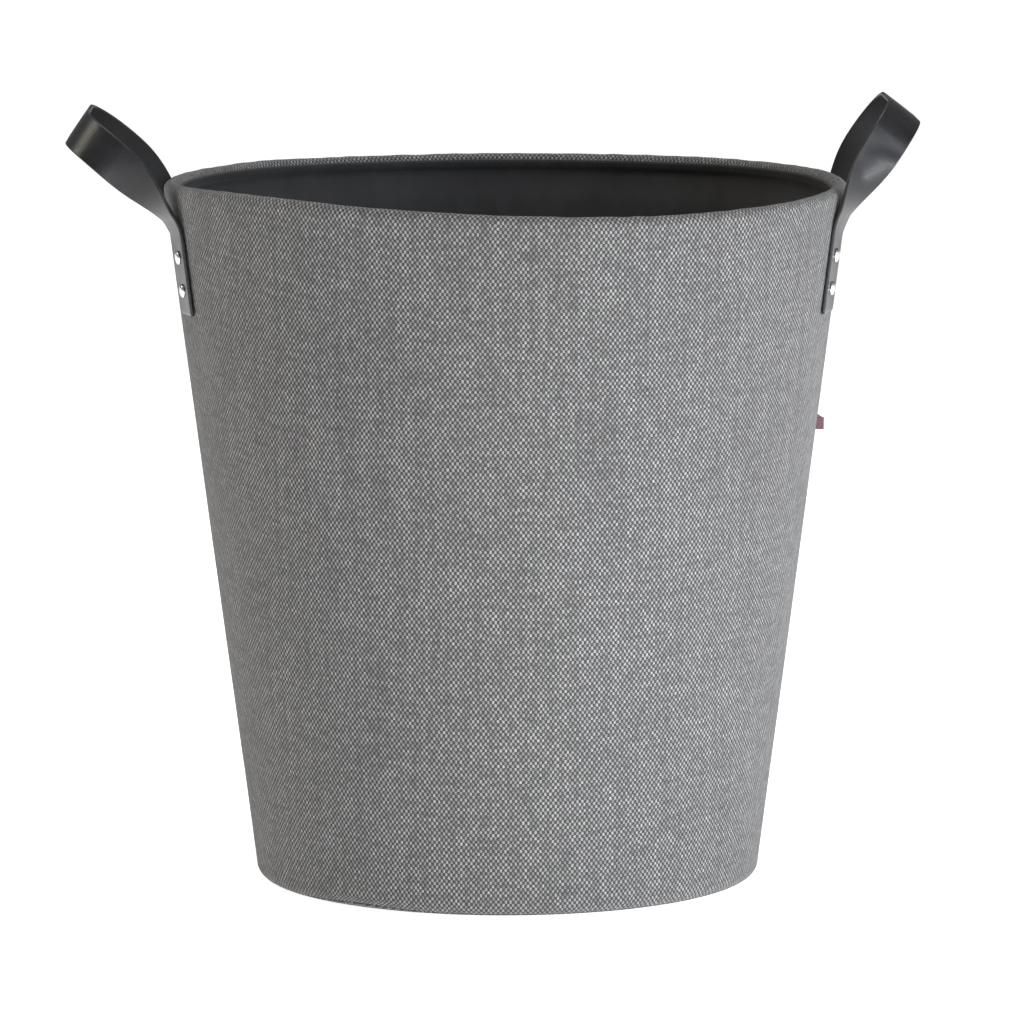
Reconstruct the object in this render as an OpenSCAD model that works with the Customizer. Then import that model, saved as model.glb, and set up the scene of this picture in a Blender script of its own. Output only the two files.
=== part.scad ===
// Round fabric storage bin: a board shell covered in woven fabric, lined in black,
// with a fabric-wrapped hoop at the rim and two riveted leather strap handles.
// Origin at the centre of the underside, +Z up, handles along X, front towards -Y.

/* [Body] */
// Height from the underside to the top of the rim
bin_height = 410; // [300:5:480]
// Outer diameter of the wall line at rim height
rim_d = 400; // [360:5:440]
// Outer diameter of the wall line at floor height
base_d = 294; // [260:2:340]
// Radius of the rounded edge round the base
base_edge_r = 8; // [7:0.5:10]
// Height of the seam between the wall cover and the underside panel
base_seam_z = 1.8; // [1.5:0.1:2.2]
// Thickness of the rolled lip at the rim
lip_t = 9.2; // [8.8:0.2:10.4]

/* [Layers] */
// Thickness of the woven outer fabric
fabric_t = 1.2; // [1:0.1:1.3]
// Thickness of the stiff board inside the wall
wall_board_t = 2.4; // [2:0.1:2.6]
// Thickness of the black lining
lining_t = 0.8; // [0.6:0.1:1]
// Thickness of the stiff board in the base
base_board_t = 3; // [2:0.5:3.5]
// How far the outer fabric is turned down inside the rim
hem_len = 19; // [15:1:19]
// How far the lining's top edge lies below the top of the rim
lining_drop = 3.4; // [3:0.2:4]
// Clearance between two layers
layer_gap = 0.05; // [0.02:0.01:0.1]

/* [Handles] */
// Width of the leather strap
strap_w = 23; // [20:1:25]
// Thickness of the leather strap
strap_t = 2.4; // [2:0.2:3]
// Angle of each strap leg round the bin, from the side's middle
leg_azimuth = 16; // [15:0.5:17]
// Height at which the strap leaves the wall and flexes
flex_z = 387; // [386:1:388]
// Length of the flat leg below the flex line
leg_len = 50.6; // [48:0.2:54]
// Straight distance from the flex line to the middle of the left loop's tip
left_reach = 80; // [77:1:84]
// Straight distance from the flex line to the middle of the right loop's tip
right_reach = 75; // [73:1:80]
// Radius of the two bends at a loop's tip
loop_bend_r = 30; // [26:1:32]
// Angle through which the left loop curls outwards from its legs to its tip
left_curl = 19; // [14:1:24]
// Angle through which the right loop curls outwards from its legs to its tip
right_curl = 11; // [8:1:18]
// Length of strap above the flex line that is still flat
twist_start = 0; // [0:0.5:4]
// Length over which the strap then twists from flat to standing on edge
twist_len = 58; // [50:1:62]
// Lean of the left loop's chord from the vertical
left_lean = 46; // [44:0.5:56]
// Lean of the right loop's chord from the vertical
right_lean = 32; // [31:0.5:56]

/* [Rivets] */
// Diameter of a rivet's head
rivet_head_d = 8; // [7:0.5:10]
// Height of a rivet's domed head
rivet_head_h = 1.7; // [1.2:0.1:2.5]
// Diameter of a rivet's post
rivet_post_d = 3; // [2:0.2:4]
// Distance from the leg's square end to the lower rivet
rivet_end = 14; // [10:0.5:16]
// Distance between a leg's two rivets
rivet_pitch = 19.4; // [16:0.2:22]
// Diameter of the cap on a rivet's inner end
rivet_cap_d = 9; // [7:0.5:10]
// Thickness of the cap on a rivet's inner end
rivet_cap_t = 1.4; // [1:0.1:2]

/* [Label] */
// Height of the middle of the folded label in the right side seam
label_z = 267; // [150:1:320]
// Height of the label
label_h = 9; // [6:0.5:14]
// How far the label stands out of the seam
label_out = 4.6; // [3:0.2:8]
// Thickness of the label's two folded layers
label_t = 1.2; // [0.8:0.1:1.6]

/* [Hidden] */

round_fn = 144;
small_fn = 48;
arc_steps = 10;

FABRIC = "dimgray";
LINING = "#2c2c2e";
BOARD = "tan";
LEATHER = "#35353a";
STEEL = "silver";
LABEL = "#6b3a46";

rim_r = rim_d / 2;
base_r = base_d / 2;
wall_tilt = atan((rim_r - base_r) / bin_height);
lip_r = lip_t / 2;
hoop_r = lip_r - fabric_t - 4 * layer_gap;
lip_z = bin_height - lip_r;

// Depths below the outer surface, square to the wall
board_out = fabric_t + layer_gap;
board_in = board_out + wall_board_t;
hem_out = board_in + layer_gap;
hem_in = hem_out + fabric_t;

// Heights of the layers of the base
base_board_z = fabric_t + layer_gap;
wall_board_z = base_board_z + base_board_t + layer_gap;
floor_z = wall_board_z + lining_t;

// The wall board stops under the hoop, and the hem ends below that
wall_board_top = lip_z - hoop_r - 2 * layer_gap - 0.4;
hem_z = wall_board_top - hem_len;
hem_angle = 238;
lining_step = 6;

leg_gap = 0.15;
leg_mid = leg_gap + strap_t / 2;
// The leg ends this far below the flex line and the loop starts this far above it, so that
// the loop's slanting end swings clear of the leg and the wall
leg_top = -(strap_t / 2 + strap_w / 2 * sin(leg_azimuth) + 2.2);
loop_start = 1.5;
bore_play = 0.2;
cap_gap = 0.05;

// Outer radius of the wall at height z, and the radius at a depth d under it
function wall_r(z) = base_r + (rim_r - base_r) * z / bin_height;
function depth_r(z, d) = wall_r(z) - d / cos(wall_tilt);
lip_c = [depth_r(lip_z, lip_r), lip_z];
edge_c = [depth_r(base_edge_r, base_edge_r), base_edge_r];

function at(z, d) = [depth_r(z, d), z];
function arc(c, r, a, b) = [
    for (i = [0 : arc_steps]) let (t = a + (b - a) * i / arc_steps) c + r * [cos(t), sin(t)]
];
// Angle on the base edge, at depth d, where the height is z
function edge_angle(z, d) = asin((z - base_edge_r) / (base_edge_r - d));
function edge_arc(d, a, b) = arc(edge_c, base_edge_r - d, a, b);
function reversed(list) = [for (i = [len(list) - 1 : -1 : 0]) list[i]];

module revolve(points) {
    rotate_extrude($fn = round_fn)
        polygon(points);
}

// Places children on the wall: X outwards, Z up the wall, origin on the surface at height z
module on_wall(azimuth, z) {
    rotate([0, 0, azimuth])
        translate([wall_r(z), 0, z])
            rotate([0, wall_tilt, 0])
                children();
}

// Azimuths of the four legs: right front, right rear, left rear, left front
LEG_AZIMUTHS = [-leg_azimuth, leg_azimuth, 180 - leg_azimuth, 180 + leg_azimuth];
RIVET_ROWS = [-leg_len + rivet_end, -leg_len + rivet_end + rivet_pitch];

module rivet_bores(azimuths = LEG_AZIMUTHS) {
    for (azimuth = azimuths)
        for (row = RIVET_ROWS)
            on_wall(azimuth, flex_z)
                translate([-strap_w, 0, row])
                    rotate([0, 90, 0])
                        cylinder(d = rivet_post_d + bore_play, h = 2 * strap_w, $fn = small_fn);
}

// ---- Bin body ----

// Wall fabric: from the base seam up the wall, over the lip and down inside as the hem
module outer_cover() {
    seam_a = edge_angle(base_seam_z, 0);
    outside = concat(
        edge_arc(0, seam_a, -wall_tilt),
        arc(lip_c, lip_r, -wall_tilt, hem_angle),
        [at(wall_board_top - 2, hem_in), at(hem_z, hem_in)]
    );
    inside = concat(
        edge_arc(fabric_t, seam_a, -wall_tilt),
        arc(lip_c, lip_r - fabric_t, -wall_tilt, hem_angle),
        [at(wall_board_top - 2, hem_out), at(hem_z, hem_out)]
    );
    color(FABRIC)
        difference() {
            revolve(concat(outside, reversed(inside)));
            rivet_bores();
        }
}

// Underside panel, turned up at its edge to meet the wall fabric at the seam
module base_cover() {
    seam_a = edge_angle(base_seam_z, 0) - 0.6;
    color(FABRIC)
        revolve(concat(
            [[0, 0]],
            edge_arc(0, -90, seam_a),
            reversed(edge_arc(fabric_t, -90, seam_a)),
            [[0, fabric_t]]
        ));
}

module wall_board() {
    foot_a = edge_angle(wall_board_z, board_out);
    color(BOARD)
        difference() {
            revolve(concat(
                edge_arc(board_out, foot_a, -wall_tilt),
                [at(wall_board_top, board_out), at(wall_board_top, board_in), at(wall_board_z, board_in)]
            ));
            rivet_bores();
        }
}

module base_board() {
    top_z = base_board_z + base_board_t;
    color(BOARD)
        revolve(concat(
            [[0, base_board_z]],
            edge_arc(board_out, -90, edge_angle(top_z, board_out)),
            [[0, top_z]]
        ));
}

module rim_hoop() {
    color(STEEL)
        rotate_extrude($fn = round_fn)
            translate(lip_c)
                circle(r = hoop_r, $fn = small_fn);
}

// Wall lining: sewn to the inner face of the lip, over the hem, then down the board
module wall_lining() {
    top_a = 180 - asin((lip_r - lining_drop) / lip_r);
    near = layer_gap;
    far = layer_gap + lining_t;
    back = concat(
        arc(lip_c, lip_r + near, top_a, hem_angle),
        [
            at(wall_board_top - 2, hem_in + near), at(hem_z, hem_in + near),
            at(hem_z - lining_step, board_in + near), at(wall_board_z, board_in + near)
        ]
    );
    face = concat(
        arc(lip_c, lip_r + far, top_a, hem_angle),
        [
            at(wall_board_top - 2, hem_in + far), at(hem_z, hem_in + far),
            at(hem_z - lining_step, board_in + far), at(wall_board_z, board_in + far)
        ]
    );
    color(LINING)
        difference() {
            revolve(concat(back, reversed(face)));
            rivet_bores();
        }
}

module base_lining() {
    color(LINING)
        translate([0, 0, wall_board_z])
            cylinder(r = depth_r(wall_board_z, board_in + 3 * layer_gap + lining_t), h = lining_t, $fn = round_fn);
}

// Folded blank label, caught in the side seam, with a sloping top edge
module side_label() {
    color(LABEL)
        on_wall(0, label_z)
            translate([layer_gap, label_t / 2, 0])
                rotate([90, 0, 0])
                    linear_extrude(label_t)
                        polygon([
                            [0, -label_h / 2], [label_out, -label_h / 2],
                            [label_out, label_h / 6], [0, label_h / 2]
                        ]);
}

// ---- Strap handles ----

// Flat end of a strap, lying on the wall below the flex line, with two rivet holes
module leg(azimuth) {
    color(LEATHER)
        difference() {
            on_wall(azimuth, flex_z)
                translate([leg_gap, -strap_w / 2, -leg_len])
                    cube([strap_t, strap_w, leg_len + leg_top]);
            rivet_bores([azimuth]);
        }
}

// The flex line is parallel to Y, through the middle of the strap's thickness at both legs
flex_r = wall_r(flex_z) + leg_mid * cos(wall_tilt);
flex_x = flex_r * cos(leg_azimuth);
flex_y = flex_r * sin(leg_azimuth);
flex_h = flex_z - leg_mid * sin(wall_tilt);

// A loop is [lean of its chord, reach, curl]. Its length along the curled plane, from the
// flex line to the tip, and the length of its straight sides and of its whole path
function loop_len(loop) = loop[1] * (loop[2] / 2 * PI / 180) / sin(loop[2] / 2);
function side_len(loop) = loop_len(loop) - loop_bend_r;
function path_len(loop) = 2 * (side_len(loop) + bend_len) + tip_len;
bend_len = loop_bend_r * PI / 2;
tip_len = 2 * (flex_y - loop_bend_r);
loop_rings = 72;

// Point of the strap's middle line in the loop plane, [out from the flex line, across],
// at distance s along it, and its heading there
function loop_flat(loop, s) =
    let (side = side_len(loop), bent = side + bend_len)
    s <= side ? [s, -flex_y] :
    s <= bent ? let (a = (s - side) / loop_bend_r * 180 / PI)
        [side + loop_bend_r * sin(a), -flex_y + loop_bend_r * (1 - cos(a))] :
    s <= bent + tip_len ? [loop_len(loop), s - bent - tip_len / 2] :
    let (p = loop_flat(loop, path_len(loop) - s)) [p[0], -p[1]];
function loop_heading(loop, s) =
    let (side = side_len(loop), bent = side + bend_len)
    s <= side ? 0 :
    s <= bent ? (s - side) / loop_bend_r * 180 / PI :
    s <= bent + tip_len ? 90 :
    180 - loop_heading(loop, path_len(loop) - s);

// Twist at distance s from one end: from flat on the wall to standing on edge, 90
function smooth(t) = t * t * (3 - 2 * t);
function twist(loop, s) =
    let (t = (min(s, path_len(loop) - s) - twist_start) / twist_len)
    leg_azimuth + (90 - leg_azimuth) * smooth(max(0, min(1, t)));

// Lean from the vertical at distance u out along the curled plane, and the place there
function lean_at(loop, u) = loop[0] + loop[2] * (u / loop_len(loop) - 0.5);
function curled(loop, p) =
    let (
        bend = loop_len(loop) / (loop[2] * PI / 180),
        a = lean_at(loop, 0),
        b = lean_at(loop, p[0])
    )
    [flex_x + bend * (cos(a) - cos(b)), p[1], flex_h + bend * (sin(b) - sin(a))];

// The strap's four corners at distance s
function strap_ring(loop, s) =
    let (
        p = loop_flat(loop, s),
        a = lean_at(loop, p[0]),
        h = loop_heading(loop, s),
        t = twist(loop, s),
        along = [sin(a), 0, cos(a)],
        inward = [-cos(a), 0, sin(a)],
        outside = sin(h) * along - cos(h) * [0, 1, 0],
        across = (cos(t) * outside + sin(t) * inward) * strap_w / 2,
        thick = (sin(t) * outside - cos(t) * inward) * strap_t / 2,
        c = curled(loop, p)
    )
    [c + across + thick, c - across + thick, c - across - thick, c + across - thick];

module strap_loop(loop) {
    ring_step = (path_len(loop) - 2 * loop_start) / loop_rings;
    rings = [for (i = [0 : loop_rings]) strap_ring(loop, loop_start + ring_step * i)];
    points = [for (ring = rings) for (p = ring) p];
    last = 4 * loop_rings;
    sides = [
        for (i = [0 : loop_rings - 1]) for (k = [0 : 3])
            let (a = 4 * i + k, b = 4 * i + (k + 1) % 4)
            each [[a, b + 4, b], [a, a + 4, b + 4]]
    ];
    ends = [[0, 1, 2, 3], [last + 3, last + 2, last + 1, last]];
    polyhedron(points, concat(sides, ends));
}

module right_handle_loop() {
    color(LEATHER)
        strap_loop([right_lean, right_reach, right_curl]);
}

module left_handle_loop() {
    color(LEATHER)
        mirror([1, 0, 0])
            strap_loop([left_lean, left_reach, left_curl]);
}

module right_front_leg() {
    leg(LEG_AZIMUTHS[0]);
}

module right_rear_leg() {
    leg(LEG_AZIMUTHS[1]);
}

module left_rear_leg() {
    leg(LEG_AZIMUTHS[2]);
}

module left_front_leg() {
    leg(LEG_AZIMUTHS[3]);
}

// ---- Rivets ----

lining_face = board_in + layer_gap + lining_t;
cap_in = lining_face + cap_gap;
cap_out = cap_in + rivet_cap_t;
head_x = leg_gap + strap_t;

// Radius of the sphere that a head of this width and height is cut from
dome_r = (rivet_head_d * rivet_head_d / 4 + rivet_head_h * rivet_head_h) / (2 * rivet_head_h);
dome_a = asin(rivet_head_d / 2 / dome_r);

// Domed head outside, with a post that reaches through to the inner cap
module rivet_pair(azimuth) {
    dome = [
        for (i = [0 : arc_steps]) let (a = dome_a * (1 - i / arc_steps))
            [dome_r * sin(a), rivet_head_h - dome_r * (1 - cos(a))]
    ];
    color(STEEL)
        for (row = RIVET_ROWS)
            on_wall(azimuth, flex_z)
                translate([head_x, 0, row])
                    rotate([0, 90, 0])
                        rotate_extrude($fn = small_fn)
                            polygon(concat(
                                [
                                    [0, -head_x - cap_out], [rivet_post_d / 2, -head_x - cap_out],
                                    [rivet_post_d / 2, 0]
                                ],
                                dome
                            ));
}

module rivet_cap_pair(azimuth) {
    color(STEEL)
        for (row = RIVET_ROWS)
            on_wall(azimuth, flex_z)
                translate([-cap_out, 0, row])
                    rotate([0, 90, 0])
                        difference() {
                            cylinder(d1 = rivet_cap_d - rivet_cap_t, d2 = rivet_cap_d, h = rivet_cap_t, $fn = small_fn);
                            translate([0, 0, -1])
                                cylinder(d = rivet_post_d + bore_play / 2, h = rivet_cap_t + 2, $fn = small_fn);
                        }
}

module right_front_rivets() {
    rivet_pair(LEG_AZIMUTHS[0]);
}

module right_rear_rivets() {
    rivet_pair(LEG_AZIMUTHS[1]);
}

module left_rear_rivets() {
    rivet_pair(LEG_AZIMUTHS[2]);
}

module left_front_rivets() {
    rivet_pair(LEG_AZIMUTHS[3]);
}

module right_front_rivet_caps() {
    rivet_cap_pair(LEG_AZIMUTHS[0]);
}

module right_rear_rivet_caps() {
    rivet_cap_pair(LEG_AZIMUTHS[1]);
}

module left_rear_rivet_caps() {
    rivet_cap_pair(LEG_AZIMUTHS[2]);
}

module left_front_rivet_caps() {
    rivet_cap_pair(LEG_AZIMUTHS[3]);
}

outer_cover();
base_cover();
wall_board();
base_board();
rim_hoop();
wall_lining();
base_lining();
side_label();
left_front_leg();
left_rear_leg();
left_handle_loop();
right_front_leg();
right_rear_leg();
right_handle_loop();
left_front_rivets();
left_rear_rivets();
right_front_rivets();
right_rear_rivets();
left_front_rivet_caps();
left_rear_rivet_caps();
right_front_rivet_caps();
right_rear_rivet_caps();
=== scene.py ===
"""Round fabric storage bin: woven cover on a board shell, black lining, riveted leather straps.

The CAD frame is in metres: origin at the centre of the underside, +Z up, handles along X,
front towards -Y. Sizes below repeat the part's own, and heights come from its boxes.
"""
import math
import bmesh
import bpy
import numpy as np
from mathutils import Euler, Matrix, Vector, noise


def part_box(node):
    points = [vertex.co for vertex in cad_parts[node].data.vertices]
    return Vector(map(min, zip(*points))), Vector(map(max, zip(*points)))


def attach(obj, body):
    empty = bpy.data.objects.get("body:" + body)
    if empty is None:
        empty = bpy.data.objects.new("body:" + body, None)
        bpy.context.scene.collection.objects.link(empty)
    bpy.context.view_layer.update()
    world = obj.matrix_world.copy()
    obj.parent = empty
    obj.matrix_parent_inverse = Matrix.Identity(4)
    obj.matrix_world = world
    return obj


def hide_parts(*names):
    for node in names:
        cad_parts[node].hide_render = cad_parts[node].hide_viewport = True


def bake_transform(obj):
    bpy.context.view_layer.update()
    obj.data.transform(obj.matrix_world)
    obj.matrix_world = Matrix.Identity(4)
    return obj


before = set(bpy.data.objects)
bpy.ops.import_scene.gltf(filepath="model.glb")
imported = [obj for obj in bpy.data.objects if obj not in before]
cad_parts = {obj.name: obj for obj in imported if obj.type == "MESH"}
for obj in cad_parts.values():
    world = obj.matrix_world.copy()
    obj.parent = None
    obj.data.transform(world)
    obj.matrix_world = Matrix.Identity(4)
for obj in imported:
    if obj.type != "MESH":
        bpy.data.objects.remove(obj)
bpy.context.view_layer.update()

MM = 0.001

# ---- Sizes of the bin ----
BIN_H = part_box("outer_cover")[1].z
RIM_R = 200 * MM
BASE_R = 147 * MM
EDGE_R = 8 * MM
LIP_R = 4.6 * MM
HOOP_R = 3.2 * MM
LINING_T = 0.8 * MM
HEM_FACE = 4.9 * MM
BOARD_FACE = 3.65 * MM
GAP = 0.05 * MM
HEM_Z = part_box("wall_board")[1].z - 19 * MM
LINING_STEP = 12 * MM
WALL_FOOT_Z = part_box("base_lining")[0].z
FLOOR_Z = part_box("base_lining")[1].z
FLOOR_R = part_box("base_lining")[1].x
HEM_ANGLE = 238
HEM_TOP_Z = BIN_H - 2 * LIP_R - 1 * MM
LINING_ANGLE = 165
TILT = math.atan((RIM_R - BASE_R) / BIN_H)

# ---- Sizes of the straps ----
STRAP_W = 23 * MM
STRAP_T = 2.4 * MM
LEG_AZ = math.radians(16)
FLEX_Z = 387 * MM
LEG_LEN = 50.6 * MM
LOOP_BEND = 30 * MM
TWIST_LEN = 58 * MM
LOOPS = {
    "left": {"lean": math.radians(46), "reach": 80 * MM, "curl": math.radians(19)},
    "right": {"lean": math.radians(32), "reach": 75 * MM, "curl": math.radians(11)},
}
LEG_GAP = 0.15 * MM
LEG_MID = LEG_GAP + STRAP_T / 2
RIVET_ROWS = (-LEG_LEN + 14 * MM, -LEG_LEN + 33.4 * MM)
STRAP_ROUND = 0.95 * MM
STRAP_CROWN = 0.12 * MM
FACE_POINTS = 15
RIVET_R = 4 * MM
RIVET_H = 1.7 * MM
CAP_R = 4.5 * MM
CAP_T = 1.4 * MM

# Rivet posts and caps: distance out of the wall's face, so inside it is negative
POST_R = 1.45 * MM
POST_FOOT = -5.6 * MM
CAP_FACE = -4.53 * MM

# ---- Camera, fitted to the photograph's perspective ----
CAMERA_TURN = math.radians(-1)
CAMERA_PLACE = Vector((3.16 * MM, -4.1, 0.7635))
CAMERA_PITCH = 0.1333
CAMERA_ROLL = -0.0023
CAMERA_LENS = 247.7


# ---- Shape helpers ----

def wall_r(z):
    return BASE_R + (RIM_R - BASE_R) * z / BIN_H


def at_depth(z, depth):
    """Point of the wall's section, [radius, height], at that depth under the outer line."""
    return (wall_r(z) - depth / math.cos(TILT), z)


LIP_C = at_depth(BIN_H - LIP_R, LIP_R)
EDGE_C = at_depth(EDGE_R, EDGE_R)


def arc(centre, radius, start, end, steps):
    """Points of an arc in the section, from start to end degrees."""
    angles = np.radians(np.linspace(start, end, steps + 1))
    return [(centre[0] + radius * math.cos(a), centre[1] + radius * math.sin(a)) for a in angles]


def line(first, last, steps):
    """Points after first, up to last."""
    first, last = np.array(first), np.array(last)
    return [tuple(first + (last - first) * i / steps) for i in range(1, steps + 1)]


def smooth(t):
    t = np.clip(t, 0, 1)
    return t * t * (3 - 2 * t)


def ripple(points, size, seed):
    """Soft noise, about -1 to 1, at each point; size is the length of a ripple along X, Y and Z."""
    scaled = np.asarray(points, float) / np.array(size) + seed * 7.31
    flat = scaled.reshape(-1, 3)
    values = [noise.noise(Vector(p)) for p in flat]
    return np.array(values).reshape(scaled.shape[:-1]) * 1.6


def section_normals(section):
    """Unit normals of a section, on the right of its direction of travel."""
    step = np.gradient(np.asarray(section), axis=0)
    normal = np.stack([step[:, 1], -step[:, 0]], 1)
    return normal / np.linalg.norm(normal, axis=1, keepdims=True)


def section_lengths(section):
    steps = np.linalg.norm(np.diff(np.asarray(section), axis=0), axis=1)
    return np.concatenate([[0], np.cumsum(steps)])


def smooth_mesh(name, vertices, faces):
    mesh = bpy.data.meshes.new(name)
    mesh.from_pydata(vertices, [], faces)
    mesh.polygons.foreach_set("use_smooth", [True] * len(mesh.polygons))
    obj = bpy.data.objects.new(name, mesh)
    bpy.context.scene.collection.objects.link(obj)
    return obj


def grid_mesh(name, points, cut, closed=False):
    """A smooth quad sheet from a grid of points, with the UV map "cut": each point's place on
    the flat piece, in metres. A closed grid joins its last row to its first."""
    rows, columns = points.shape[:2]
    last = rows if closed else rows - 1
    faces = [
        (
            i * columns + j,
            i * columns + j + 1,
            (i + 1) % rows * columns + j + 1,
            (i + 1) % rows * columns + j,
        )
        for i in range(last)
        for j in range(columns - 1)
    ]
    obj = smooth_mesh(name, points.reshape(-1, 3).tolist(), faces)
    if cut is not None:
        corners = [v for face in faces for v in face]
        uv = obj.data.uv_layers.new(name="cut")
        uv.data.foreach_set("uv", cut.reshape(-1, 2)[corners].ravel())
    return obj


def ring_faces(first, rings, around):
    """Faces of a body made of rings of vertices, numbered from first, with both ends filled."""
    faces = []
    for i in range(rings - 1):
        for j in range(around):
            a, b = first + i * around + j, first + i * around + (j + 1) % around
            faces.append((a, b, b + around, a + around))
    last = first + (rings - 1) * around
    faces.append(tuple(first + j for j in reversed(range(around))))
    faces.append(tuple(last + j for j in range(around)))
    return faces


def finish_piece(obj, material, body="root", nodes=()):
    obj.data.materials.append(material)
    if body:
        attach(obj, body)
    if nodes:
        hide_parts(*nodes)
    return obj


# ---- Material helpers ----

class Nodes:
    """A short way to write one material's node tree."""

    def __init__(self, name):
        self.material = bpy.data.materials.new(name)
        self.material.use_nodes = True
        self.tree = self.material.node_tree
        self.shader = self.tree.nodes["Principled BSDF"]

    def put(self, socket, value):
        if isinstance(value, bpy.types.NodeSocket):
            self.tree.links.new(value, socket)
        elif value is not None:
            socket.default_value = value

    def add(self, kind, *inputs, **settings):
        node = self.tree.nodes.new("ShaderNode" + kind)
        for key, value in settings.items():
            setattr(node, key, value)
        for socket, value in zip(node.inputs, inputs):
            self.put(socket, value)
        return node

    def math(self, operation, *inputs, clamp=False):
        return self.add("Math", *inputs, operation=operation, use_clamp=clamp).outputs[0]

    def cut(self):
        """Place on the flat cut, in metres."""
        node = self.tree.nodes.new("ShaderNodeUVMap")
        node.uv_map = "cut"
        return node.outputs[0]

    def place(self):
        return self.tree.nodes.new("ShaderNodeTexCoord").outputs["Object"]

    def stretched(self, vector, scale):
        node = self.add("VectorMath", vector, operation="MULTIPLY")
        node.inputs[1].default_value = scale
        return node.outputs[0]

    def noise(self, vector, scale=1.0, detail=2.0, roughness=0.5):
        node = self.tree.nodes.new("ShaderNodeTexNoise")
        self.put(node.inputs["Vector"], vector)
        node.inputs["Scale"].default_value = scale
        node.inputs["Detail"].default_value = detail
        node.inputs["Roughness"].default_value = roughness
        return node.outputs["Fac"]

    def between(self, value, low, high, to_low=0.0, to_high=1.0):
        node = self.tree.nodes.new("ShaderNodeMapRange")
        for socket, v in zip(node.inputs, (value, low, high, to_low, to_high)):
            self.put(socket, v)
        return node.outputs[0]

    def mix(self, share, first, second):
        node = self.tree.nodes.new("ShaderNodeMix")
        node.data_type = "RGBA"
        self.put(node.inputs["Factor"], share)
        colours = [s for s in node.inputs if s.type == "RGBA"]
        self.put(colours[0], first)
        self.put(colours[1], second)
        return next(s for s in node.outputs if s.type == "RGBA")

    def shade(self, colour, by):
        """The colour made lighter or darker by a factor."""
        node = self.tree.nodes.new("ShaderNodeVectorMath")
        node.operation = "SCALE"
        self.put(node.inputs[0], colour)
        self.put(node.inputs["Scale"], by)
        return node.outputs[0]

    def bump(self, height, distance, strength=1.0):
        node = self.tree.nodes.new("ShaderNodeBump")
        node.inputs["Strength"].default_value = strength
        node.inputs["Distance"].default_value = distance
        self.put(node.inputs["Height"], height)
        self.put(self.shader.inputs["Normal"], node.outputs[0])

    def finish(self, colour, roughness, metallic=0.0, specular=0.5, sheen=0.0):
        self.put(self.shader.inputs["Base Color"], colour)
        self.put(self.shader.inputs["Roughness"], roughness)
        self.shader.inputs["Metallic"].default_value = metallic
        self.shader.inputs["Specular IOR Level"].default_value = specular
        self.shader.inputs["Sheen Weight"].default_value = sheen
        self.shader.inputs["Sheen Roughness"].default_value = 0.5
        return self.material


WARP_PITCH = 1.42 * MM
WEFT_PITCH = 1.88 * MM
TWILL_PITCH = 0.7 * MM


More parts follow.
